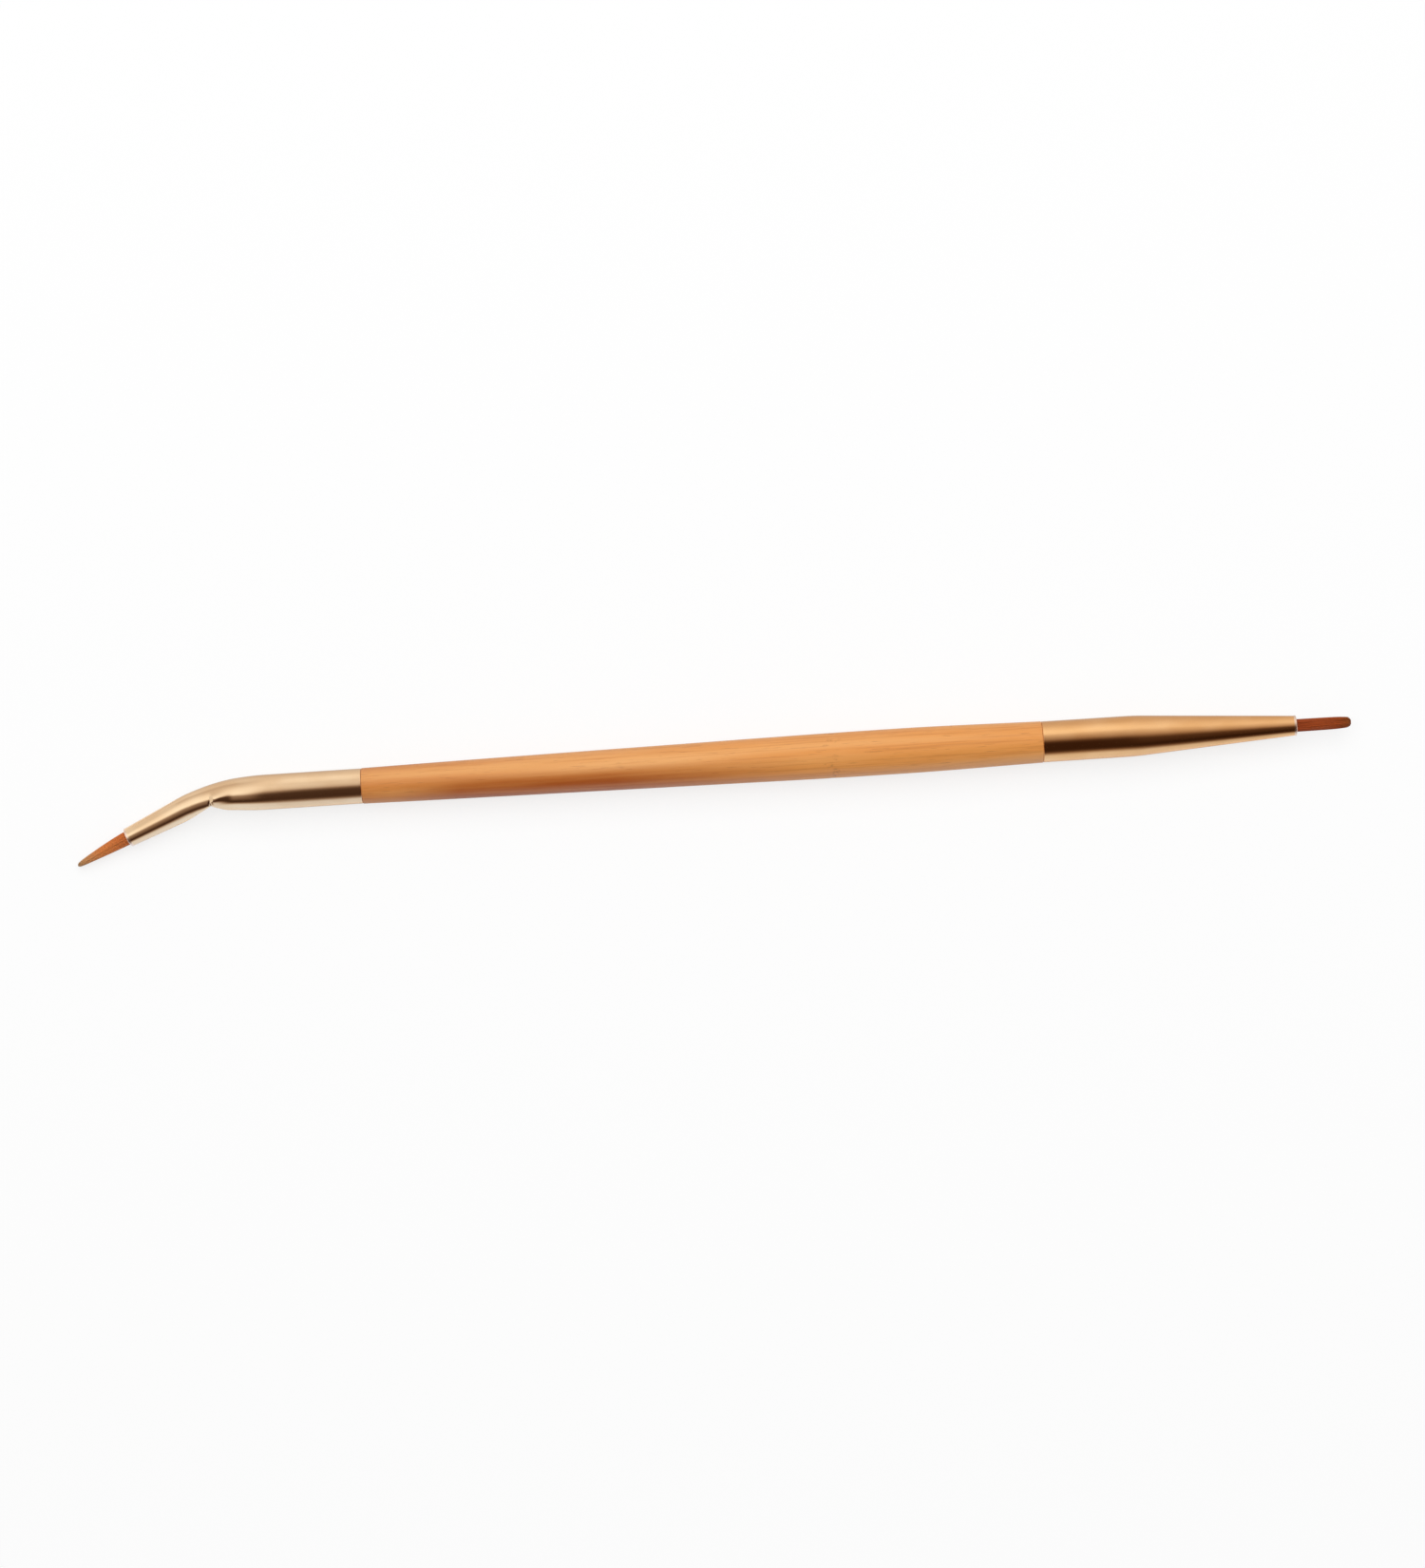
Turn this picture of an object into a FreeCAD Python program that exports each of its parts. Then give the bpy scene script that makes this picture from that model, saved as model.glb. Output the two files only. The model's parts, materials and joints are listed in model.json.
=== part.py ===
"""A double-ended eyeliner brush: a turned bamboo handle with a metal ferrule at each end.

One ferrule is bent, with a pressed fold on the inside of its bend, and holds a tuft that is
thin in the plane of the bend. The other is straight and tapered, and holds a blunter tuft.
Sizes are in millimetres.

The brush is drawn along X: X is 0 where the bent ferrule meets the handle, the bent end is
at -X and bends towards -Y, and the handle's axis is the X axis. lie_on_table() then rolls it
about that axis onto the tip of its bent tuft and puts the origin at the bottom centre.
"""

import FreeCAD, Part

import math
import os

Vector = FreeCAD.Vector

# Handle: turned from one piece of bamboo, with a spigot at each end for its ferrule.
HANDLE_SWELL_LENGTH = 72.5  # bent ferrule's edge to the widest place
HANDLE_FALL_LENGTH = 19.0  # widest place to the straight ferrule's edge
HANDLE_WIDEST_DIAMETER = 6.1
HANDLE_TAPER_START = 24.0  # straight taper's start, from the bent ferrule's edge
HANDLE_TAPER_START_DIAMETER = 5.35
HANDLE_TAPER_END_DIAMETER = 6.0
HANDLE_BELLY_LENGTH = 14.5  # straight taper's end to the widest place
HANDLE_PROUD = 0.03  # how far the wood stands above each ferrule's edge
HANDLE_SWELL_SLOPE = 0.0145  # rise of the radius per millimetre, at the bent ferrule
HANDLE_FALL_SLOPE = 0.0138  # fall of the radius per millimetre, at the straight ferrule
EDGE_CHAMFER = 0.12  # broken edges, on the wood and on both ferrules
SPIGOT_END_GAP = 2.0  # from a spigot's end to where its ferrule starts to narrow
SPIGOT_CHAMFER = 0.4

# Adhesive, and the fit of the hair
SPIGOT_GLUE = 0.08  # film between a spigot and its ferrule
HAIR_CLEARANCE = 0.02  # between a hair bundle and what holds it
RESIN_CLEARANCE = 0.02  # between the cured resin and its ferrule

# Bent ferrule: a drawn tube, necked down, bent and folded.
FERRULE_WALL = 0.3
SLEEVE_DIAMETER = 4.72
SLEEVE_LENGTH = 16.3  # straight, from the handle to the start of the bend
BEND_RADIUS = 20.0  # of the tube's centre line
BEND_ANGLE = 24.0
BENT_NOSE_LENGTH = 8.3  # straight, from the end of the bend to the mouth
NECK_DIAMETER = 3.4
NECK_BEFORE_FOLD = 7.5  # where the necking starts and ends, along the centre line
NECK_AFTER_FOLD = 3.0
BENT_MOUTH_DIAMETER = 2.58
FOLD_DEPTH = 1.22  # how far the inner wall is pressed in
FOLD_ON_SLEEVE = 3.4  # length of the pressed-in wall on each side of the fold
FOLD_ON_NOSE = 5.6
FOLD_CREASE_RADIUS = 0.14
FOLD_FADING = 2  # how fast the pressing dies away from the fold: 1 is evenly
FOLD_RIDGE_WIDTH = 0.5  # rounding of the pressed wall's edges, at the fold
FOLD_RIDGE_FADING = 0.75  # how fast that rounding dies away with the pressing
FOLD_WIDENING = 0.06  # share by which the pressed tube grows sideways

# Straight ferrule: a drawn tube, a sleeve that runs into a long cone.
CUFF_DIAMETER = 5.5
CUFF_LENGTH = 12.4
CONE_LENGTH = 21.8
CONE_BLEND_RADIUS = 38.0
STRAIGHT_MOUTH_DIAMETER = 2.62
STRAIGHT_LIP_LENGTH = 0.35  # rolled in to the hair at the mouth

# Bent end's tuft: a wedge, thin in the plane of the bend, swept a little further round.
BENT_TUFT_LENGTH = 7.9
BENT_TUFT_SWEEP = 6.0  # degrees, over its length
BENT_TUFT_TIP_THICKNESS = 0.5
BENT_TUFT_TIP_WIDTH = 1.1
BENT_ROOT_LENGTH = 6.0

# Straight end's tuft: wide in the plane of the bend, and blunter.
STRAIGHT_TUFT_DIAMETER = 1.72
STRAIGHT_TUFT_LENGTH = 7.4
STRAIGHT_TUFT_TIP_THICKNESS = 0.6
STRAIGHT_TUFT_TIP_WIDTH = 1.25
STRAIGHT_ROOT_LENGTH = 9.0
TUFT_THINNING = 1.4  # how late a tuft's thickness falls to its tip's: 1 is a straight wedge
TUFT_ROUNDING = 7.0  # how late its width falls, to round the tip

# Cured resin that holds the roots, and the thread that ties them.
RESIN_BELOW_MOUTH = 1.3
RESIN_BEHIND_ROOTS = 1.1
TIE_THREAD_DIAMETER = 0.14
TIE_BEFORE_ROOT_END = 1.5

# Control nets of the bent tube and the tufts
SECTION_POINTS = 36  # round one section
FINEST_STEP = 0.14  # between sections, at the fold
STEP_GROWTH = 0.2  # growth of the step with the distance from the fold
COARSEST_STEP = 1.2
LONGEST_LAST_STEP = 1.4  # times the usual step, so that no sliver is left at an end
BORE_OVERRUN = 1.0  # how far the bore's cutter runs out of each end
ROOT_SECTIONS = 4
TUFT_SECTIONS = 12

handle_length = HANDLE_SWELL_LENGTH + HANDLE_FALL_LENGTH
sleeve_radius = SLEEVE_DIAMETER / 2
cuff_radius = CUFF_DIAMETER / 2
bent_tuft_diameter = BENT_MOUTH_DIAMETER - 2 * (FERRULE_WALL + HAIR_CLEARANCE)
bend_length = BEND_RADIUS * math.radians(BEND_ANGLE)
fold_at = SLEEVE_LENGTH + bend_length / 2
bent_spigot_length = fold_at - NECK_BEFORE_FOLD - SPIGOT_END_GAP
straight_spigot_length = CUFF_LENGTH - SPIGOT_END_GAP
bent_ferrule_length = SLEEVE_LENGTH + bend_length + BENT_NOSE_LENGTH
straight_ferrule_length = CUFF_LENGTH + CONE_LENGTH
straight_mouth_x = handle_length + straight_ferrule_length

AXIS_X = Vector(1, 0, 0)
AXIS_Z = Vector(0, 0, 1)
ORIGIN = Vector(0, 0, 0)


# ---------------------------------------------------------------- shared shapes

def lathe(corners):
    """Solid turned about the X axis from a closed outline of (x, radius) corners."""
    points = [Vector(x, r, 0) for x, r in corners]
    outline = Part.makePolygon(points + points[:1])
    return Part.Face(outline).revolve(ORIGIN, AXIS_X, 360)


def turned(edges, x_start, x_end):
    """Solid turned about the X axis under a run of edges, closed along the axis."""
    first = edges[0].firstVertex().Point
    last = edges[-1].lastVertex().Point
    closing = Part.makePolygon([last, Vector(x_end, 0, 0), Vector(x_start, 0, 0), first])
    return Part.Face(Part.Wire(edges + closing.Edges)).revolve(ORIGIN, AXIS_X, 360)


def edge_breaker(x, radius, inward):
    """Ring that takes EDGE_CHAMFER off an outer edge at x, whose body lies on the inward side."""
    reach = 2 * EDGE_CHAMFER
    return lathe([
        (x - inward * reach, radius - EDGE_CHAMFER - reach),
        (x, radius - EDGE_CHAMFER),
        (x + inward * EDGE_CHAMFER, radius),
        (x + inward * (EDGE_CHAMFER + reach), radius + reach),
        (x - inward * reach, radius + reach),
    ])


def cylinder_back(length, diameter):
    """Cylinder from a mouth at the origin back into its ferrule."""
    return Part.makeCylinder(diameter / 2, length, Vector(-length, 0, 0), AXIS_X)


def at_straight_mouth(shape):
    """Moves a shape drawn along +X to the straight mouth."""
    return shape.translated(Vector(straight_mouth_x, 0, 0))


def ring_angles():
    return [2 * math.pi * (i + 0.5) / SECTION_POINTS for i in range(SECTION_POINTS)]


def ring_swell():
    """How far outside a round section its control points lie, as a share of its radius."""
    return 3 / (2 + math.cos(2 * math.pi / SECTION_POINTS))


def skinned(rows):
    """Solid with a smooth side through rows of SECTION_POINTS control points, and flat ends."""
    net = [[row[i] for row in rows] for i in range(SECTION_POINTS)]
    inner_knots = len(rows) - 4
    surface = Part.BSplineSurface()
    surface.buildFromPolesMultsKnots(
        net,
        [1] * (SECTION_POINTS + 1), [4] + [1] * inner_knots + [4],
        list(range(SECTION_POINTS + 1)), list(range(inner_knots + 2)),
        True, False, 3, 3)
    side = surface.toShape()
    ends = [Part.Face(Part.Wire([edge])) for edge in side.Edges if edge.isClosed()]
    shell = Part.Shell([side] + ends)
    shell.sewShape()
    return Part.Solid(shell)


# ---------------------------------------------------------------- bent tube's centre line

def tube_frame(s):
    """Centre, heading and direction towards the inside of the bend, s along the centre line."""
    turn = min(max((s - SLEEVE_LENGTH) / BEND_RADIUS, 0.0), math.radians(BEND_ANGLE))
    before = min(s, SLEEVE_LENGTH)
    after = max(s - SLEEVE_LENGTH - bend_length, 0.0)
    heading = Vector(-math.cos(turn), -math.sin(turn), 0)
    inside = Vector(math.sin(turn), -math.cos(turn), 0)
    bent = Vector(-math.sin(turn), math.cos(turn) - 1, 0) * BEND_RADIUS
    return Vector(-before, 0, 0) + bent + heading * after, heading, inside


def from_bent_mouth(shape):
    """Moves a shape drawn along +X to the bent mouth: +Y becomes the inside of the bend."""
    centre, _, _ = tube_frame(bent_ferrule_length)
    turn = FreeCAD.Rotation(AXIS_Z, 180 + BEND_ANGLE)
    return shape.transformed(FreeCAD.Placement(centre, turn).toMatrix())


# ---------------------------------------------------------------- bent ferrule

def smooth_step(t):
    t = min(max(t, 0.0), 1.0)
    return t * t * (3 - 2 * t)


def tube_radius(s):
    """Outer radius of the tube: sleeve, then necked down past the fold, then a slow cone."""
    neck_start = fold_at - NECK_BEFORE_FOLD
    neck_end = fold_at + NECK_AFTER_FOLD
    neck_radius = NECK_DIAMETER / 2
    if s <= neck_end:
        share = smooth_step((s - neck_start) / (neck_end - neck_start))
        return sleeve_radius + (neck_radius - sleeve_radius) * share
    share = (s - neck_end) / (bent_ferrule_length - neck_end)
    return neck_radius + (BENT_MOUTH_DIAMETER / 2 - neck_radius) * share


def pressed_in(s):
    """Share of FOLD_DEPTH by which the inner wall is pressed in: 1 at the fold, 0 beyond it."""
    distance = math.hypot(s - fold_at, FOLD_CREASE_RADIUS) - FOLD_CREASE_RADIUS
    reach = FOLD_ON_SLEEVE if s < fold_at else FOLD_ON_NOSE
    return max(1 - distance / reach, 0.0) ** FOLD_FADING


def softer_min(a, b, width):
    """The lesser of a and b, with a rounded change-over of that width."""
    if width <= 0:
        return min(a, b)
    share = min(max(0.5 + 0.5 * (b - a) / width, 0.0), 1.0)
    return b + (a - b) * share - width * share * (1 - share)


def tube_section(s, thinner):
    """Control points round the tube at s, its wall moved in by thinner."""
    centre, _, inside = tube_frame(s)
    radius = tube_radius(s) - thinner
    pressed = pressed_in(s)
    flat_at = radius - FOLD_DEPTH * pressed
    ridge = FOLD_RIDGE_WIDTH * pressed ** FOLD_RIDGE_FADING
    points = []
    for angle in ring_angles():
        across = softer_min(radius * math.cos(angle), flat_at, ridge)
        up = radius * math.sin(angle) * (1 + FOLD_WIDENING * pressed)
        points.append(centre + (inside * across + AXIS_Z * up) * ring_swell())
    return points


def tube_stations():
    """Places of the sections along the tube, closer together near the fold."""
    stations = [fold_at]
    for way, end in ((-1, 0.0), (1, bent_ferrule_length)):
        s = fold_at
        while abs(end - s) > 1e-6:
            step = min(FINEST_STEP + STEP_GROWTH * abs(s - fold_at), COARSEST_STEP)
            s = end if abs(end - s) < LONGEST_LAST_STEP * step else s + way * step
            stations.append(s)
    return sorted(stations)


def tube_solid(thinner, overrun=0.0):
    """Full solid of the tube, its wall moved in by thinner, running out of both ends."""
    stations = tube_stations()
    if overrun:
        stations = [-overrun] + stations + [bent_ferrule_length + overrun]
    return skinned([tube_section(s, thinner) for s in stations])


def bent_ferrule():
    shell = tube_solid(0.0).cut(tube_solid(FERRULE_WALL, BORE_OVERRUN))
    shell = shell.cut(edge_breaker(0, sleeve_radius, -1))
    mouth = from_bent_mouth(edge_breaker(0, BENT_MOUTH_DIAMETER / 2, -1))
    return shell.cut(mouth)


# ---------------------------------------------------------------- straight ferrule

cone_fall = math.atan2(cuff_radius - STRAIGHT_MOUTH_DIAMETER / 2, CONE_LENGTH)
cone_slant = 1 / math.cos(cone_fall)  # a wall's thickness square to the axis, for 1 across it


def slanted(angle):
    """Outward direction, square to a wall that falls by the angle."""
    return Vector(math.sin(angle), math.cos(angle), 0)


def cone_radius(x):
    """Outer radius of the straight ferrule's cone, x from its cuff's end."""
    return cuff_radius + (STRAIGHT_MOUTH_DIAMETER / 2 - cuff_radius) * x / CONE_LENGTH


def straight_ferrule_core(thinner, x_end):
    """Straight ferrule as a full solid up to x_end, its wall moved in by thinner."""
    cuff_end = handle_length + CUFF_LENGTH
    blend_radius = CONE_BLEND_RADIUS - thinner
    tangent = CONE_BLEND_RADIUS * math.tan(cone_fall / 2)
    blend_start = Vector(cuff_end - tangent, cuff_radius - thinner, 0)
    centre = blend_start - Vector(0, blend_radius, 0)
    blend_middle = centre + slanted(cone_fall / 2) * blend_radius
    blend_end = centre + slanted(cone_fall) * blend_radius
    end = Vector(x_end, cone_radius(x_end - cuff_end) - thinner * cone_slant, 0)
    edges = [
        Part.LineSegment(Vector(handle_length, cuff_radius - thinner, 0), blend_start).toShape(),
        Part.Arc(blend_start, blend_middle, blend_end).toShape(),
        Part.LineSegment(blend_end, end).toShape(),
    ]
    return turned(edges, handle_length, x_end)


def straight_ferrule():
    inner_end = straight_mouth_x - STRAIGHT_LIP_LENGTH
    shell = straight_ferrule_core(0.0, straight_mouth_x)
    shell = shell.cut(straight_ferrule_core(FERRULE_WALL, inner_end))
    opening = cylinder_back(STRAIGHT_LIP_LENGTH + BORE_OVERRUN,
                            STRAIGHT_TUFT_DIAMETER + 2 * HAIR_CLEARANCE)
    shell = shell.cut(at_straight_mouth(opening))
    shell = shell.cut(edge_breaker(handle_length, cuff_radius, 1))
    return shell.cut(edge_breaker(straight_mouth_x, STRAIGHT_MOUTH_DIAMETER / 2, -1))


# ---------------------------------------------------------------- handle and its glue

bent_bore = sleeve_radius - FERRULE_WALL
straight_bore = cuff_radius - FERRULE_WALL


def spigot(x_end, x_shoulder, radius):
    """Turned peg from the shoulder to x_end, with a chamfered end, running into the handle."""
    way = 1 if x_shoulder > x_end else -1
    return lathe([
        (x_end, 0),
        (x_end, radius - SPIGOT_CHAMFER),
        (x_end + way * SPIGOT_CHAMFER, radius),
        (x_shoulder + way * SPIGOT_CHAMFER, radius),
        (x_shoulder + way * SPIGOT_CHAMFER, 0),
    ])


def eased_line(x_from, r_from, slope_from, x_to, r_to, slope_to):
    """Curve between two (x, radius) points that leaves and arrives at the given slopes."""
    third = (x_to - x_from) / 3
    curve = Part.BezierCurve()
    curve.setPoles([
        Vector(x_from, r_from, 0),
        Vector(x_from + third, r_from + slope_from * third, 0),
        Vector(x_to - third, r_to - slope_to * third, 0),
        Vector(x_to, r_to, 0),
    ])
    return curve.toShape()


def bamboo_handle():
    bent_end = sleeve_radius + HANDLE_PROUD
    straight_end = cuff_radius + HANDLE_PROUD
    widest = HANDLE_WIDEST_DIAMETER / 2
    taper_end = HANDLE_SWELL_LENGTH - HANDLE_BELLY_LENGTH
    taper_from = HANDLE_TAPER_START_DIAMETER / 2
    taper_to = HANDLE_TAPER_END_DIAMETER / 2
    slope = (taper_to - taper_from) / (taper_end - HANDLE_TAPER_START)
    taper = Part.LineSegment(Vector(HANDLE_TAPER_START, taper_from, 0),
                             Vector(taper_end, taper_to, 0))
    body = turned([
        eased_line(0, bent_end, HANDLE_SWELL_SLOPE, HANDLE_TAPER_START, taper_from, slope),
        taper.toShape(),
        eased_line(taper_end, taper_to, slope, HANDLE_SWELL_LENGTH, widest, 0),
        eased_line(HANDLE_SWELL_LENGTH, widest, 0, handle_length, straight_end,
                   -HANDLE_FALL_SLOPE),
    ], 0, handle_length)
    body = body.cut(edge_breaker(0, bent_end, 1))
    body = body.cut(edge_breaker(handle_length, straight_end, -1))
    bent_peg = spigot(-bent_spigot_length, 0, bent_bore - SPIGOT_GLUE)
    straight_peg = spigot(handle_length + straight_spigot_length, handle_length,
                          straight_bore - SPIGOT_GLUE)
    return body.fuse([bent_peg, straight_peg]).removeSplitter()


def glue_film(x_from, x_to, bore):
    """Film of glue on a spigot, from its shoulder to where its end chamfer starts."""
    return lathe([
        (x_from, bore - SPIGOT_GLUE),
        (x_from, bore),
        (x_to, bore),
        (x_to, bore - SPIGOT_GLUE),
    ])


def bent_handle_glue():
    return glue_film(-bent_spigot_length + SPIGOT_CHAMFER, 0, bent_bore)


def straight_handle_glue():
    shoulder = handle_length
    return glue_film(shoulder, shoulder + straight_spigot_length - SPIGOT_CHAMFER, straight_bore)


# ---------------------------------------------------------------- tufts, drawn along +X

def tie_ring(root_length, diameter, clearance=0.0):
    """Thread drawn tight round the roots, so that it lies level with them."""
    thread = TIE_THREAD_DIAMETER / 2
    place = Vector(TIE_BEFORE_ROOT_END - root_length, 0, 0)
    return Part.makeTorus(diameter / 2 - thread, thread + clearance, place, AXIS_X)


def hair_line(x, length, sweep):
    """Centre and heading of a tuft's middle line at x, for a tuft that sweeps towards +Y."""
    if x <= 0 or sweep == 0:
        return Vector(x, 0, 0), AXIS_X
    turn = math.radians(sweep) * x / length
    radius = length / math.radians(sweep)
    centre = Vector(math.sin(turn), 1 - math.cos(turn), 0) * radius
    return centre, Vector(math.cos(turn), math.sin(turn), 0)


def tuft_rows(root_length, length, diameter, sweep, tip_y, tip_z):
    """Control rows of a tuft and its roots: tip_y and tip_z are the tip's half-sizes."""
    base = diameter / 2
    powers = (TUFT_THINNING, TUFT_ROUNDING)
    if tip_y > tip_z:
        powers = powers[::-1]
    rows = []
    places = [(i / ROOT_SECTIONS - 1) * root_length for i in range(ROOT_SECTIONS)]
    places += [length * math.sin(math.pi / 2 * i / TUFT_SECTIONS) for i in range(TUFT_SECTIONS + 1)]
    for x in places:
        share = max(x, 0) / length
        centre, heading = hair_line(x, length, sweep)
        half_y = base + (tip_y - base) * share ** powers[0]
        half_z = base + (tip_z - base) * share ** powers[1]
        side = AXIS_Z.cross(heading) * half_y * ring_swell()
        up = AXIS_Z * half_z * ring_swell()
        rows.append([centre + side * math.cos(a) + up * math.sin(a) for a in ring_angles()])
    return rows


def bent_tuft_rows():
    return tuft_rows(BENT_ROOT_LENGTH, BENT_TUFT_LENGTH, bent_tuft_diameter, BENT_TUFT_SWEEP,
                     BENT_TUFT_TIP_THICKNESS / 2, BENT_TUFT_TIP_WIDTH / 2)


def straight_tuft_rows():
    return tuft_rows(STRAIGHT_ROOT_LENGTH, STRAIGHT_TUFT_LENGTH, STRAIGHT_TUFT_DIAMETER, 0,
                     STRAIGHT_TUFT_TIP_WIDTH / 2, STRAIGHT_TUFT_TIP_THICKNESS / 2)


def bent_tuft():
    groove = tie_ring(BENT_ROOT_LENGTH, bent_tuft_diameter, HAIR_CLEARANCE)
    return from_bent_mouth(skinned(bent_tuft_rows()).cut(groove))


def straight_tuft():
    groove = tie_ring(STRAIGHT_ROOT_LENGTH, STRAIGHT_TUFT_DIAMETER, HAIR_CLEARANCE)
    return at_straight_mouth(skinned(straight_tuft_rows()).cut(groove))


# ---------------------------------------------------------------- what holds the roots

def resin_plug(root_length, diameter, bore_radius):
    """Resin round and behind the roots, drawn from a mouth at the origin.

    bore_radius(x) is the ferrule's inner radius at the depth x below its mouth.
    """
    front = RESIN_BELOW_MOUTH
    back = root_length + RESIN_BEHIND_ROOTS
    plug = lathe([
        (-front, 0),
        (-front, bore_radius(front) - RESIN_CLEARANCE),
        (-back, bore_radius(back) - RESIN_CLEARANCE),
        (-back, 0),
    ])
    return plug.cut(cylinder_back(root_length + HAIR_CLEARANCE, diameter + 2 * HAIR_CLEARANCE))


def bent_bore_radius(depth):
    return tube_radius(bent_ferrule_length - depth) - FERRULE_WALL


def straight_bore_radius(depth):
    return cone_radius(CONE_LENGTH - depth) - FERRULE_WALL * cone_slant


def bent_tuft_tie():
    return from_bent_mouth(tie_ring(BENT_ROOT_LENGTH, bent_tuft_diameter))


def bent_tuft_resin():
    return from_bent_mouth(resin_plug(BENT_ROOT_LENGTH, bent_tuft_diameter, bent_bore_radius))


def straight_tuft_tie():
    return at_straight_mouth(tie_ring(STRAIGHT_ROOT_LENGTH, STRAIGHT_TUFT_DIAMETER))


def straight_tuft_resin():
    plug = resin_plug(STRAIGHT_ROOT_LENGTH, STRAIGHT_TUFT_DIAMETER, straight_bore_radius)
    return at_straight_mouth(plug)


# ---------------------------------------------------------------- the whole brush

PIECES = {
    "bamboo_handle": bamboo_handle,
    "bent_ferrule": bent_ferrule,
    "straight_ferrule": straight_ferrule,
    "bent_tuft": bent_tuft,
    "straight_tuft": straight_tuft,
    "bent_tuft_resin": bent_tuft_resin,
    "straight_tuft_resin": straight_tuft_resin,
    "bent_tuft_tie": bent_tuft_tie,
    "straight_tuft_tie": straight_tuft_tie,
    "bent_handle_glue": bent_handle_glue,
    "straight_handle_glue": straight_handle_glue,
}


def rest_roll():
    """Roll about the handle's axis, in degrees, that lays the bent end's tuft on the table."""
    radius = HANDLE_WIDEST_DIAMETER / 2
    rolls = []
    for row in bent_tuft_rows():
        for point in Part.makePolygon(row).Vertexes:
            below = from_bent_mouth(point).Point
            reach = math.hypot(below.y, below.z)
            if reach > radius:
                rolls.append(math.asin(radius / reach) - math.atan2(-below.z, -below.y))
    return math.degrees(min(rolls))


def lie_on_table(shapes):
    """Placement that takes the brush from its drawing to the table, with its origin."""
    roll = FreeCAD.Rotation(AXIS_X, rest_roll())
    rolled = Part.makeCompound(list(shapes.values()))
    rolled = rolled.transformed(FreeCAD.Placement(ORIGIN, roll).toMatrix())
    box = rolled.optimalBoundingBox(False)
    base = Vector((box.XMin + box.XMax) / 2, (box.YMin + box.YMax) / 2,
                  -HANDLE_WIDEST_DIAMETER / 2)
    return FreeCAD.Placement(-base, roll)


def main():
    os.makedirs("parts", exist_ok=True)
    shapes = {name: make() for name, make in PIECES.items()}
    placement = lie_on_table(shapes)
    for name, shape in shapes.items():
        placed = shape.transformed(placement.toMatrix())
        solids = placed.Solids
        assert placed.isValid() and solids, name
        result = solids[0] if len(solids) == 1 else Part.makeCompound(solids)
        result.exportStep(os.path.join("parts", name + ".step"))
        print(name, len(solids), round(result.Volume, 3))
    return shapes, placement


main()
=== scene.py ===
"""Looks of a double-ended eyeliner brush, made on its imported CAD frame.

Sizes are in millimetres unless a name says otherwise, as in the part's own drawing: X runs
along the handle from the bent ferrule's edge, and the bent end bends towards -Y. Each mesh is
drawn there and then laid in the frame, in metres, the way the brush lies on the table.
"""

import json
import math
import random

import bpy
from mathutils import Matrix, Vector, noise


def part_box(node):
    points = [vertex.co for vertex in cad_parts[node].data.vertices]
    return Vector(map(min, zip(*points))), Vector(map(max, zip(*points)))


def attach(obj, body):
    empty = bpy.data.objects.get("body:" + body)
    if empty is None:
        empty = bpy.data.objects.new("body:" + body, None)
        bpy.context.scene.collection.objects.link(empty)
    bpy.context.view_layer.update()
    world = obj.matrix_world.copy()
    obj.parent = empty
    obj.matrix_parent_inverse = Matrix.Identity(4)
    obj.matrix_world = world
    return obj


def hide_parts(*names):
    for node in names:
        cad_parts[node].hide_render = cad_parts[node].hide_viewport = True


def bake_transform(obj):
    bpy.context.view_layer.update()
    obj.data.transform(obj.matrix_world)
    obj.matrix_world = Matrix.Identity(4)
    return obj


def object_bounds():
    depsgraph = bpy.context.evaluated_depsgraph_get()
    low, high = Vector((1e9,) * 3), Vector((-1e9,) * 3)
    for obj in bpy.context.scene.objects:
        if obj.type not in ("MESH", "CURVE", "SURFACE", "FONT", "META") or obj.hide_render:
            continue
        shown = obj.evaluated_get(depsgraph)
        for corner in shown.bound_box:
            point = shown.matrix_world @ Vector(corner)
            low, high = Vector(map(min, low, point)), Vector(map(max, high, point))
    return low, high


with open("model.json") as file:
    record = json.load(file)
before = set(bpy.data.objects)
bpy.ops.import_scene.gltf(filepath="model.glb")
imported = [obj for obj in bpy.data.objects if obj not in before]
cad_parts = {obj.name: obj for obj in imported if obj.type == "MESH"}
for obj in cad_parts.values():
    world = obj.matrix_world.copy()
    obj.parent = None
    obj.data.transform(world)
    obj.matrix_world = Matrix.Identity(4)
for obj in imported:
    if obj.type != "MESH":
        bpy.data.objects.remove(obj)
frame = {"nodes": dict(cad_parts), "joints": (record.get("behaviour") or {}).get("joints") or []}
cad_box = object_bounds()


# ---------------------------------------------------------------- camera
# A long lens straight above the table. The brush lies right across the picture, with its bent
# end at the left and its straight end a little higher, at the right.
PICTURE_WIDTH, PICTURE_HEIGHT = 1500, 1650
LENS, SENSOR = 100.0, 36.0
BRUSH_SHARE_OF_WIDTH = 0.9
BRUSH_RISE_DEG = 3.7

brush_middle = (cad_box[0] + cad_box[1]) / 2
brush_length_m = cad_box[1].x - cad_box[0].x
seen_width_m = brush_length_m / BRUSH_SHARE_OF_WIDTH
short_side_of_sensor = SENSOR * PICTURE_WIDTH / PICTURE_HEIGHT

camera_data = bpy.data.cameras.new("camera")
camera_data.lens = LENS
camera_data.sensor_width = SENSOR
camera = bpy.data.objects.new("camera", camera_data)
camera.location = brush_middle + Vector((0, 0, seen_width_m * LENS / short_side_of_sensor))
camera.rotation_euler = (0, 0, -math.radians(BRUSH_RISE_DEG))
bpy.context.scene.collection.objects.link(camera)
bpy.context.scene.camera = camera
bpy.context.scene.view_settings.view_transform = "Standard"


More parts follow.
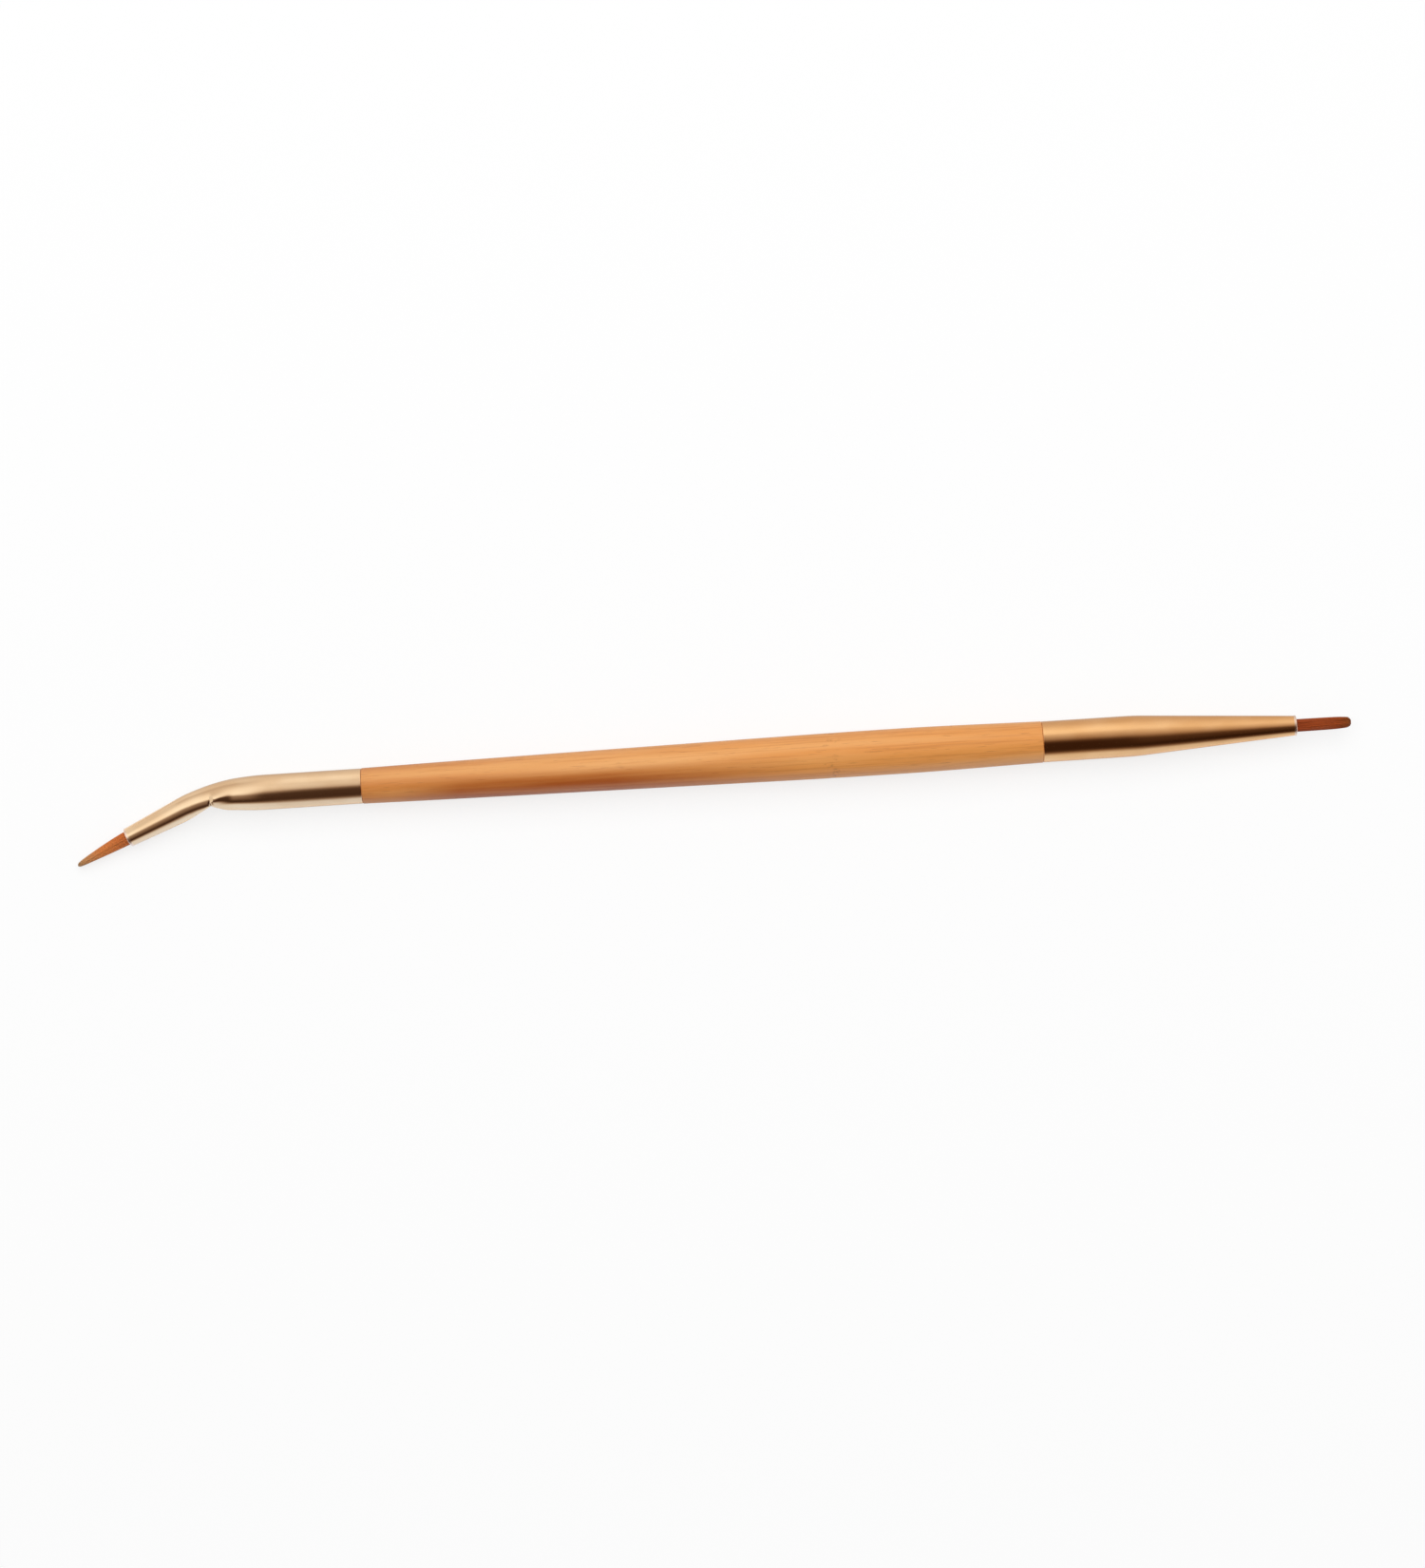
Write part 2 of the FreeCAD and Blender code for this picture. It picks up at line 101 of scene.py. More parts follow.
# ---------------------------------------------------------------- table, room and lamp
# A smooth white table in a white room, under one wide soft lamp. Only the brush's polished
# metal sees a low tunnel of cloth over it, which runs in over the table too: white cloth with
# one dark brown strip, which draws the dark line down each ferrule, and cooler white beside it.
TABLE_SIZE_M = 6.0
TABLE_WHITE = 0.93
TABLE_KEEPS_SHADOW = 0.25  # share of the table's look that takes the brush's shadow
LAMP_HEIGHT_M, LAMP_ASIDE_M = 1.0, 0.55  # aside on the side away from the bend
LAMP_SIZE_M, LAMP_WATTS = 1.3, 13.0
ROOM_LIGHT = 0.36
ROOM_IN_METAL = 0.85
TUNNEL_RADIUS_M, TUNNEL_ENDS = 0.075, (-135.0, 135.0)
TUNNEL_STEPS, TUNNEL_STEP_DEG = 90, 2
AXIS_HEIGHT_M = 0.003  # of the brush, over the table
CLOTH_FOOT_DEG = 92  # where the tunnel comes down to the table
CLOTH_OVER_TABLE_M = 0.0001
# Brightness of the cloth by degrees from straight up, towards the bend's side: over the bent
# ferrule and over the straight one, where the brush narrows to its tuft as well as where it
# meets the handle. Between the places given (millimetres along the table) it is blended.
CLOTH_DEGREES = (-128, -112, -98, -75, -58, -45, -34, -22, -12, -4, 4, 14, 50, 60, 70, 80, 90, 128)
CLOTH_BRIGHTNESS = (
    (-82, (0.85, 0.85, 0.85, 0.66, 0.80, 0.95, 1.05, 1.10, 1.15, 1.15, 0.90, 0.35, 0.05, 0.07,
           0.35, 0.85, 0.95, 0.95)),
    (-70, (0.70, 0.75, 0.80, 0.85, 0.95, 1.00, 1.05, 1.00, 0.90, 0.60, 0.25, 0.07, 0.05, 0.09,
           0.40, 0.85, 0.95, 0.95)),
    (-62, (0.62, 0.66, 0.85, 1.04, 0.98, 0.84, 0.82, 0.74, 0.56, 0.28, 0.12, 0.07, 0.06, 0.09,
           0.26, 0.62, 0.88, 0.95)),
    (-47, (0.62, 0.66, 0.85, 1.04, 0.98, 0.84, 0.82, 0.74, 0.56, 0.28, 0.12, 0.07, 0.06, 0.09,
           0.26, 0.62, 0.88, 0.95)),
    (44, (0.48, 0.62, 0.72, 0.96, 1.10, 1.05, 0.68, 0.46, 0.32, 0.15, 0.06, 0.04, 0.04, 0.06,
          0.20, 0.60, 0.90, 0.95)),
    (57, (0.48, 0.62, 0.72, 0.92, 1.05, 1.00, 0.75, 0.54, 0.38, 0.21, 0.08, 0.04, 0.04, 0.07,
          0.26, 0.66, 0.92, 0.95)),
    (82, (0.60, 0.66, 0.74, 0.86, 0.92, 0.92, 0.80, 0.66, 0.50, 0.36, 0.20, 0.09, 0.03, 0.04,
          0.10, 0.30, 0.70, 0.90)))
CLOTH_IN_SHADE = (1.0, 1.22, 1.38)  # powers of the brightness, by colour: browner as it darkens
CLOTH_COOL = (0.86, 0.98, 1.18)  # tint of the cloth on the bend's side
COOL_FROM, COOL_TO = 62, 84


def add(tree, kind, *values, settings=None, **named):
    """Adds a node. Its inputs, by place or by name, take numbers, colours or other outputs."""
    node = tree.nodes.new(kind)
    for key, setting in (settings or {}).items():
        setattr(node, key, setting)
    inputs = list(enumerate(values)) + [(k.replace("_", " "), v) for k, v in named.items()]
    for key, value in inputs:
        if value is None:
            continue
        if isinstance(value, bpy.types.NodeSocket):
            tree.links.new(value, node.inputs[key])
        else:
            node.inputs[key].default_value = value
    return node


table_mesh = bpy.data.meshes.new("table")
half = TABLE_SIZE_M / 2
table_mesh.from_pydata([(-half, -half, 0), (half, -half, 0), (half, half, 0), (-half, half, 0)],
                       [], [(0, 1, 2, 3)])
table = bpy.data.objects.new("table", table_mesh)
bpy.context.scene.collection.objects.link(table)

table_white = bpy.data.materials.new("table_white")
table_white.use_nodes = True
tree = table_white.node_tree
tree.nodes.clear()
matt = add(tree, "ShaderNodeBsdfDiffuse", (TABLE_WHITE, TABLE_WHITE, TABLE_WHITE, 1))
lit = add(tree, "ShaderNodeEmission", (1, 1, 1, 1), 1.0)
straight_look = add(tree, "ShaderNodeLightPath").outputs["Is Camera Ray"]
share = add(tree, "ShaderNodeMath", straight_look, 1 - TABLE_KEEPS_SHADOW,
            settings={"operation": "MULTIPLY"})
mix = add(tree, "ShaderNodeMixShader", share.outputs[0], matt.outputs[0], lit.outputs[0])
add(tree, "ShaderNodeOutputMaterial", mix.outputs[0])
table_mesh.materials.append(table_white)

room = bpy.data.worlds.new("room")
bpy.context.scene.world = room
room.use_nodes = True
tree = room.node_tree
tree.nodes.clear()
ray = add(tree, "ShaderNodeLightPath").outputs
seen_by_metal = add(tree, "ShaderNodeBackground", (1, 1, 1, 1), ROOM_IN_METAL)
seen_straight = add(tree, "ShaderNodeBackground", (1, 1, 1, 1), 1.0)
lighting = add(tree, "ShaderNodeBackground", (1, 1, 1, 1), ROOM_LIGHT)
straight = add(tree, "ShaderNodeMath", ray["Is Camera Ray"], ray["Is Transmission Ray"],
               settings={"operation": "MAXIMUM"})
by_metal = add(tree, "ShaderNodeMixShader", ray["Is Glossy Ray"],
               lighting.outputs[0], seen_by_metal.outputs[0])
by_all = add(tree, "ShaderNodeMixShader", straight.outputs[0],
             by_metal.outputs[0], seen_straight.outputs[0])
add(tree, "ShaderNodeOutputWorld", by_all.outputs[0])

lamp_data = bpy.data.lights.new("soft_lamp", "AREA")
lamp_data.size = LAMP_SIZE_M
lamp_data.energy = LAMP_WATTS
lamp = bpy.data.objects.new("soft_lamp", lamp_data)
lamp.location = (0, LAMP_ASIDE_M, LAMP_HEIGHT_M)
lamp.visible_glossy = False
bpy.context.scene.collection.objects.link(lamp)


def read_off(table, at):
    """Value at a place in a table of (place, value) rows, blended between the nearest two."""
    for (low, a), (high, b) in zip(table, table[1:]):
        if at <= high:
            return a + (b - a) * min(max((at - low) / (high - low), 0), 1)
    return table[-1][1]


def cloth_place(degrees):
    """Sideways place and height of the cloth, in metres, seen in that direction from the brush."""
    if abs(degrees) <= CLOTH_FOOT_DEG:
        turn = math.radians(degrees)
        height = TUNNEL_RADIUS_M * math.cos(turn) + AXIS_HEIGHT_M
        return -TUNNEL_RADIUS_M * math.sin(turn), height
    down = math.radians(abs(degrees) - 90)
    return -math.copysign(AXIS_HEIGHT_M / math.tan(down), degrees), CLOTH_OVER_TABLE_M


cloth_points, cloth_faces, cloth_light = [], [], []
cloth_turns = list(range(CLOTH_DEGREES[0], CLOTH_DEGREES[-1] + 1, TUNNEL_STEP_DEG))
tunnel_length = TUNNEL_ENDS[1] - TUNNEL_ENDS[0]
along = [TUNNEL_ENDS[0] + tunnel_length * i / TUNNEL_STEPS for i in range(TUNNEL_STEPS + 1)]
for x in along:
    for degrees in cloth_turns:
        cloth_points.append((x / 1000, *cloth_place(degrees)))
        rows = [(place, read_off(list(zip(CLOTH_DEGREES, row)), degrees))
                for place, row in CLOTH_BRIGHTNESS]
        value = read_off(rows, x)
        cool = min(max((degrees - COOL_FROM) / (COOL_TO - COOL_FROM), 0), 1)
        for power, tint in zip(CLOTH_IN_SHADE, CLOTH_COOL):
            cloth_light.append(value ** power * (1 + (tint - 1) * cool))
        cloth_light.append(1.0)
for i in range(len(along) - 1):
    for j in range(len(cloth_turns) - 1):
        a, b = i * len(cloth_turns) + j, (i + 1) * len(cloth_turns) + j
        cloth_faces.append((a, a + 1, b + 1, b))
cloth_mesh = bpy.data.meshes.new("cloth_tunnel")
cloth_mesh.from_pydata(cloth_points, [], cloth_faces)
cloth_tones = cloth_mesh.attributes.new("cloth_light", "FLOAT_COLOR", "POINT")
cloth_tones.data.foreach_set("color", cloth_light)
tunnel = bpy.data.objects.new("cloth_tunnel", cloth_mesh)
for ray_kind in ("camera", "diffuse", "transmission", "volume_scatter", "shadow"):
    setattr(tunnel, "visible_" + ray_kind, False)
bpy.context.scene.collection.objects.link(tunnel)

cloth = bpy.data.materials.new("tunnel_cloth")
cloth.use_nodes = True
tree = cloth.node_tree
tree.nodes.clear()
brightness = add(tree, "ShaderNodeAttribute", settings={"attribute_name": "cloth_light"})
glow = add(tree, "ShaderNodeEmission", brightness.outputs["Color"], 1.0)
add(tree, "ShaderNodeOutputMaterial", glow.outputs[0])
cloth_mesh.materials.append(cloth)


# ---------------------------------------------------------------- bamboo handle
# Turned from one strip of bamboo, with a peg at each end for its ferrule, sanded and lacquered.
# The strip shows long straight fibres, dark pores between them, and one ring of the cane, a
# faint scar across the grain where a leaf grew. Over part of its length one side is a deeper brown.
HANDLE_SHAPE = (  # along it, its radius there, and the slope of its side
    (0.0, 2.39, 0.0145), (24.0, 2.675, 0.00956), (58.0, 3.0, 0.00956), (72.5, 3.05, 0.0),
    (91.5, 2.78, -0.0138))
EDGE_ROUND = 0.12
BENT_PEG = (-10.99, 1.98)  # where the peg ends, and its radius
STRAIGHT_PEG = (101.9, 2.37)
PEG_CHAMFER = 0.4
ROUND_HANDLE = 144
HANDLE_RING_STEP = 0.45
SCAR_AT = 63.2
SCAR_DEPTH = 0.035
HONEY = (0.730, 0.290, 0.065, 1)
PALE_FIBRE = (0.800, 0.400, 0.140, 1)
BROWN_FIBRE = (0.520, 0.175, 0.032, 1)
ORANGE_END = (0.600, 0.215, 0.045, 1)
PORE_BROWN = (0.300, 0.110, 0.030, 1)
SCAR_BROWN = (0.330, 0.120, 0.030, 1)
SIDE_BROWN = (0.390, 0.085, 0.005, 1)  # a deeper brown on one side, over part of the length
SIDE_BROWN_FROM, SIDE_BROWN_TO = 0.004, 0.060  # metres along the handle
SIDE_BROWN_RISE, SIDE_BROWN_FADE = 0.009, 0.026

handle_length = HANDLE_SHAPE[-1][0]
mouths = {joint["name"]: joint for joint in frame["joints"]}
side_way = Vector(mouths["straight_tuft_flex"]["axis"])
up_way = Vector(mouths["bent_tuft_flex"]["axis"])
axis_point = Vector(mouths["straight_tuft_flex"]["pos_m"])
handle_start = Vector((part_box("bent_ferrule")[1].x, axis_point.y, axis_point.z))
as_laid = Matrix((Vector((1, 0, 0)), side_way, up_way)).transposed().to_4x4() * 0.001
as_laid[3][3] = 1
as_laid.translation = handle_start


def skin(name, rings, ends="capped"):
    """Smooth mesh over rings of as many points each: ends are capped, open or joined."""
    count = len(rings[0])
    faces = []
    for r in range(len(rings) if ends == "joined" else len(rings) - 1):
        a, b = r * count, (r + 1) % len(rings) * count
        faces += [(a + i, a + (i + 1) % count, b + (i + 1) % count, b + i) for i in range(count)]
    if ends == "capped":
        faces.append(tuple(reversed(range(count))))
        faces.append(tuple((len(rings) - 1) * count + i for i in range(count)))
    mesh = bpy.data.meshes.new(name)
    mesh.from_pydata([p for ring in rings for p in ring], [], faces)
    mesh.shade_smooth()
    return mesh


def lay(name, mesh, finish, body, slot, *nodes):
    """Puts a drawn mesh on the table as a piece that rides on a body and stands for CAD nodes."""
    mesh.transform(as_laid)
    mesh.materials.append(finish)
    piece = bpy.data.objects.new(name, mesh)
    bpy.context.scene.collection.objects.link(piece)
    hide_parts(*nodes)
    if body:
        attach(piece, body)
    return piece


def new_finish(name):
    finish = bpy.data.materials.new(name)
    finish.use_nodes = True
    finish.node_tree.nodes.clear()
    return finish, finish.node_tree


def stretched_noise(tree, along, across, detail=2.0, rough=0.5, shift=0.0):
    """Noise drawn out along X, with features of the two sizes, in millimetres."""
    place = add(tree, "ShaderNodeTexCoord").outputs["Object"]
    scale = add(tree, "ShaderNodeMapping", place, (shift, shift, 0), (0, 0, 0),
                (1000 / along, 1000 / across, 1000 / across))
    return add(tree, "ShaderNodeTexNoise", scale.outputs[0], Scale=1.0, Detail=detail,
               Roughness=rough).outputs["Fac"]


def between(tree, value, low, high, to_low=0.0, to_high=1.0):
    return add(tree, "ShaderNodeMapRange", value, low, high, to_low, to_high).outputs[0]


def times(tree, a, b):
    return add(tree, "ShaderNodeMath", a, b, settings={"operation": "MULTIPLY"}).outputs[0]


def blended(tree, share, a, b):
    """Colour a where share is 0 and b where it is 1."""
    mix = add(tree, "ShaderNodeMix", settings={"data_type": "RGBA"})
    for key, value in ((0, share), (6, a), (7, b)):
        if isinstance(value, bpy.types.NodeSocket):
            tree.links.new(value, mix.inputs[key])
        else:
            mix.inputs[key].default_value = value
    return mix.outputs[2]


def handle_radius(x):
    """Radius of the turned handle: curves that run into each other without a break."""
    for (x0, r0, slope0), (x1, r1, slope1) in zip(HANDLE_SHAPE, HANDLE_SHAPE[1:]):
        if x <= x1:
            break
    t, u, third = (x - x0) / (x1 - x0), (x1 - x) / (x1 - x0), (x1 - x0) / 3
    return (r0 * u ** 3 + 3 * (r0 + slope0 * third) * u * u * t
            + 3 * (r1 - slope1 * third) * u * t * t + r1 * t ** 3)


def scar_depth(x, turn):
    """How far the cane's ring sinks in: a shallow uneven line across the grain."""
    wander = 0.5 * noise.noise(Vector((math.cos(turn) * 1.3, math.sin(turn) * 1.3, 4.0)))
    strength = 0.6 + 0.8 * noise.noise(Vector((math.cos(turn) * 2, math.sin(turn) * 2, 9.0)))
    return SCAR_DEPTH * max(strength, 0.1) * math.exp(-((x - SCAR_AT - wander) / 0.32) ** 2)


def handle_ring(x, radius, turned_only=False):
    ring = []
    for i in range(ROUND_HANDLE):
        turn = 2 * math.pi * i / ROUND_HANDLE
        r = radius
        if not turned_only:
            fibres = noise.noise(Vector((x * 0.05, math.cos(turn) * 9, math.sin(turn) * 9)))
            r += 0.006 * fibres - scar_depth(x, turn)
        ring.append((x, r * math.cos(turn), r * math.sin(turn)))
    return ring


rings = [handle_ring(BENT_PEG[0], BENT_PEG[1] - PEG_CHAMFER, True),
         handle_ring(BENT_PEG[0] + PEG_CHAMFER, BENT_PEG[1], True),
         handle_ring(-0.002, BENT_PEG[1], True), handle_ring(0, BENT_PEG[1], True)]
edge = [math.pi / 2 * i / 5 for i in range(6)]
for a in edge:
    inset = EDGE_ROUND * (1 - math.sin(a))
    rings.append(handle_ring(EDGE_ROUND * (1 - math.cos(a)), HANDLE_SHAPE[0][1] - inset, True))
ring_count = round((handle_length - 2 * EDGE_ROUND) / HANDLE_RING_STEP)
for i in range(1, ring_count):
    x = EDGE_ROUND + (handle_length - 2 * EDGE_ROUND) * i / ring_count
    rings.append(handle_ring(x, handle_radius(x)))
for a in reversed(edge):
    inset = EDGE_ROUND * (1 - math.sin(a))
    x = handle_length - EDGE_ROUND * (1 - math.cos(a))
    rings.append(handle_ring(x, HANDLE_SHAPE[-1][1] - inset, True))
rings += [handle_ring(handle_length, STRAIGHT_PEG[1], True),
          handle_ring(handle_length + 0.002, STRAIGHT_PEG[1], True),
          handle_ring(STRAIGHT_PEG[0] - PEG_CHAMFER, STRAIGHT_PEG[1], True),
          handle_ring(STRAIGHT_PEG[0], STRAIGHT_PEG[1] - PEG_CHAMFER, True)]

bamboo, tree = new_finish("lacquered_bamboo")
fibre = stretched_noise(tree, 22.0, 0.42, 3.0, 0.55)
fine_fibre = stretched_noise(tree, 7.0, 0.11, 2.0, 0.6, 3.1)
broad = stretched_noise(tree, 45.0, 2.2, 1.0, 0.5, 7.7)
pores = stretched_noise(tree, 2.6, 0.085, 1.0, 0.5, 5.3)
here = add(tree, "ShaderNodeSeparateXYZ", add(tree, "ShaderNodeTexCoord").outputs["Object"])
start_x = handle_start.x
to_straight = between(tree, here.outputs["X"], start_x, start_x + 0.055)
colour = blended(tree, to_straight, ORANGE_END, HONEY)
colour = blended(tree, times(tree, between(tree, broad, 0.42, 0.72), 0.75), colour, PALE_FIBRE)
colour = blended(tree, times(tree, between(tree, fibre, 0.52, 0.72), 0.55), colour, BROWN_FIBRE)
colour = blended(tree, times(tree, between(tree, fine_fibre, 0.5, 0.8), 0.30), colour, PALE_FIBRE)
colour = blended(tree, times(tree, between(tree, pores, 0.66, 0.74), 0.55), colour, PORE_BROWN)
# A deeper brown on the upper half of the side towards the bend, over part of the length.
side_brown_from, side_brown_to = start_x + SIDE_BROWN_FROM, start_x + SIDE_BROWN_TO
lengthwise = times(tree, between(tree, here.outputs["X"], side_brown_from, side_brown_from + SIDE_BROWN_RISE),
                   between(tree, here.outputs["X"], side_brown_to, side_brown_to - SIDE_BROWN_FADE))
beside = between(tree, here.outputs["Y"], handle_start.y + 0.0006, handle_start.y - 0.0011)
above = between(tree, here.outputs["Z"], handle_start.z - 0.0016, handle_start.z + 0.0004)
uneven = between(tree, stretched_noise(tree, 26.0, 0.8, 2.0, 0.5, 4.4), 0.30, 0.60, 0.60, 1.0)
darker_side = times(tree, times(tree, lengthwise, uneven), times(tree, beside, above))
colour = blended(tree, darker_side, colour, SIDE_BROWN)
scar_x = start_x + SCAR_AT * 0.001
wobble = between(tree, stretched_noise(tree, 0.7, 0.5, 2.0, 0.6, 1.7), 0.3, 0.7, -0.0009, 0.0009)
off_scar = add(tree, "ShaderNodeMath", add(tree, "ShaderNodeMath", here.outputs["X"], wobble).outputs[0],
               scar_x, settings={"operation": "SUBTRACT"})
off_scar = add(tree, "ShaderNodeMath", off_scar.outputs[0], settings={"operation": "ABSOLUTE"})
scar = between(tree, off_scar.outputs[0], 0.00075, 0.0001)
patchy = between(tree, stretched_noise(tree, 3.0, 1.1, 2.0, 0.6, 11.3), 0.46, 0.64)
colour = blended(tree, times(tree, times(tree, scar, patchy), 0.9), colour, SCAR_BROWN)
height = add(tree, "ShaderNodeMath", times(tree, fine_fibre, 0.5), fibre)
grain = add(tree, "ShaderNodeBump", Strength=0.22, Distance=0.00003, Height=height.outputs[0])
wood = add(tree, "ShaderNodeBsdfPrincipled", Base_Color=colour,
           Roughness=between(tree, fine_fibre, 0.3, 0.7, 0.36, 0.50), Coat_Weight=0.22,
           Specular_IOR_Level=0.35, Coat_Roughness=0.16, Normal=grain.outputs[0])
add(tree, "ShaderNodeOutputMaterial", wood.outputs[0])

lay("handle", skin("handle", rings), bamboo, "brush_stick", "bamboo", "bamboo_handle")


# ---------------------------------------------------------------- glue under the ferrules
# A thin film of contact glue on each peg, spread by turning the ferrule as it was pushed on.
# It is out of sight, and keeps its plain turned shape.
glue, tree = new_finish("spread_glue")
smear = stretched_noise(tree, 1.5, 0.6, 3.0, 0.6)
colour = blended(tree, smear, (0.62, 0.50, 0.30, 1), (0.76, 0.66, 0.45, 1))
film = add(tree, "ShaderNodeBsdfPrincipled", Base_Color=colour, Roughness=0.3)
add(tree, "ShaderNodeOutputMaterial", film.outputs[0])


def refinish(node, finish):
    """Gives a CAD node that stays as it is its finish."""
    slots = frame["nodes"][node].data.materials
    slots.clear()
    slots.append(finish)


for node in ("bent_handle_glue", "straight_handle_glue"):
    refinish(node, glue)


# ---------------------------------------------------------------- bent ferrule
# An aluminium tube, drawn, necked down at one end and plated in champagne gold. It was bent
# in one place with a hand tool, so its outer side is a smooth curve, and its inner wall is
# pushed in to a sharp fold between two flat scoops. The glue holds it on the handle.
WALL = 0.3
SLEEVE_RADIUS, SLEEVE_LENGTH = 2.36, 16.3
BEND_RADIUS, BEND_DEG = 20.0, 24.0
NOSE_LENGTH = 8.3
NECK_RADIUS, NECK_BEFORE, NECK_AFTER = 1.7, 7.5, 3.0
BENT_MOUTH_RADIUS = 1.29
FOLD_DEPTH = 1.22
FOLD_ON_SLEEVE, FOLD_ON_NOSE = 3.4, 5.6
FOLD_CREASE, FOLD_RIDGE, FOLD_WIDENING = 0.10, 0.42, 0.06
CREASE_GROOVE, CREASE_WIDTH = 0.20, 0.15  # the fold's line, running on round both sides
CREASE_END_DEG, CREASE_FADE_DEG = 102.0, 30.0
BULGE, BULGE_RISE, BULGE_FALL = 0.24, 0.8, 2.6  # a lump next to that line
BULGE_TURN_DEG, BULGE_SPREAD_DEG = 100.0, 19.0
ROUND_TUBE = 160
RIM_DEPTH = 0.12
MOUTH_BEAD, MOUTH_BEAD_LENGTH = 0.05, 0.40
CHAMPAGNE, CHAMPAGNE_DEEP = (0.930, 0.680, 0.430, 1), (0.860, 0.590, 0.350, 1)
# painted shade: the dark brown laid into the fold's crease, where shade falls
PAINTED_CREASE_SHADE = (0.180, 0.085, 0.040, 1)
RIM_HIGHLIGHT_PAINT = (0.930, 0.700, 0.540, 1)  # painted highlight: the mouth's edge made pale, as where it catches the light

bend_rad = math.radians(BEND_DEG)
bend_run = BEND_RADIUS * bend_rad
fold_at = SLEEVE_LENGTH + bend_run / 2
bent_tube_length = SLEEVE_LENGTH + bend_run + NOSE_LENGTH


def eased(t):
    t = min(max(t, 0.0), 1.0)
    return t * t * (3 - 2 * t)


def bent_line(s):
    """Centre, heading and way to the inside of the bend, s along the tube from the handle."""
    turn = min(max((s - SLEEVE_LENGTH) / BEND_RADIUS, 0.0), bend_rad)
    after = max(s - SLEEVE_LENGTH - bend_run, 0.0)
    heading = Vector((-math.cos(turn), -math.sin(turn), 0))
    inside = Vector((math.sin(turn), -math.cos(turn), 0))
    arc = Vector((-math.sin(turn), math.cos(turn) - 1, 0)) * BEND_RADIUS
    return Vector((-min(s, SLEEVE_LENGTH), 0, 0)) + arc + heading * after, heading, inside


def bead(distance):
    """The mouth's burnished edge: a slight swelling near it."""
    return MOUTH_BEAD * eased(1 - distance / MOUTH_BEAD_LENGTH)


def bent_radius(s):
    neck_end = fold_at + NECK_AFTER
    if s <= neck_end:
        share = eased((s - fold_at + NECK_BEFORE) / (NECK_BEFORE + NECK_AFTER))
        return SLEEVE_RADIUS + (NECK_RADIUS - SLEEVE_RADIUS) * share
    share = (s - neck_end) / (bent_tube_length - neck_end)
    return NECK_RADIUS + (BENT_MOUTH_RADIUS - NECK_RADIUS) * share + bead(bent_tube_length - s)


def pushed_in(s):
    """1 at the fold, falling to 0 at the end of the scoop on each side."""
    distance = math.hypot(s - fold_at, FOLD_CREASE) - FOLD_CREASE
    reach = FOLD_ON_SLEEVE if s < fold_at else FOLD_ON_NOSE
    return max(1 - distance / reach, 0.0) ** 2


def soft_least(a, b, width):
    if width <= 0:
        return min(a, b)
    share = min(max(0.5 + 0.5 * (b - a) / width, 0.0), 1.0)
    return b + (a - b) * share - width * share * (1 - share)


def squeezed(s, turn):
    """How far the wall stands out: a lump next to the fold, less the line of the fold itself."""
    sideways = math.degrees(math.acos(math.cos(turn)))
    line = math.exp(-((s - fold_at) / CREASE_WIDTH) ** 2) * eased(
        (CREASE_END_DEG - sideways) / CREASE_FADE_DEG)
    before = fold_at - s
    lump = eased(before / BULGE_RISE) * eased(1 - (before - BULGE_RISE) / BULGE_FALL)
    lump *= math.exp(-((sideways - BULGE_TURN_DEG) / BULGE_SPREAD_DEG) ** 2)
    return BULGE * lump - CREASE_GROOVE * line


def bent_ring(s, inset):
    centre, _, inside = bent_line(s)
    pushed = pushed_in(s)
    ridge = FOLD_RIDGE * pushed ** 0.75
    ring = []
    for i in range(ROUND_TUBE):
        turn = 2 * math.pi * i / ROUND_TUBE
        radius = bent_radius(s) - inset + squeezed(s, turn)
        flat = bent_radius(s) - inset - FOLD_DEPTH * pushed
        across = soft_least(radius * math.cos(turn), flat, ridge)
        up = radius * math.sin(turn) * (1 + FOLD_WIDENING * pushed)
        ring.append(centre + inside * across + Vector((0, 0, up)))
    return ring


def tube_rings(ring_at, length, places):
    """Rings down a tube's outside, round its mouth's rim, back up its bore and round to the start."""
    def rim(end, way, turns):
        return [(end - way * RIM_DEPTH * (1 - math.sin(a)), WALL / 2 * (1 - math.cos(a)))
                for a in turns]
    half_turn = [math.pi * i / 10 for i in range(11)]
    mid = [s for s in places if RIM_DEPTH < s < length - RIM_DEPTH]
    route = [(s, 0.0) for s in mid] + rim(length, 1, half_turn)
    route += [(s, WALL) for s in reversed(mid)] + rim(0.0, -1, reversed(half_turn))
    return [ring_at(s, inset) for s, inset in route], route


def fold_places():
    """Places along the bent tube, closer together near the fold and at the mouth's bead."""
    places = [fold_at]
    for way, end in ((-1, 0.0), (1, bent_tube_length)):
        s = fold_at
        while 0 <= s <= bent_tube_length:
            s += way * min(0.035 + 0.07 * abs(s - fold_at), 0.5)
            places.append(s)
    places += [bent_tube_length - MOUTH_BEAD_LENGTH * i / 8 for i in range(9)]
    return sorted(places)


def read_mark(tree, name):
    """Value that a mesh keeps for each of its points."""
    return add(tree, "ShaderNodeAttribute", settings={"attribute_name": name}).outputs["Fac"]


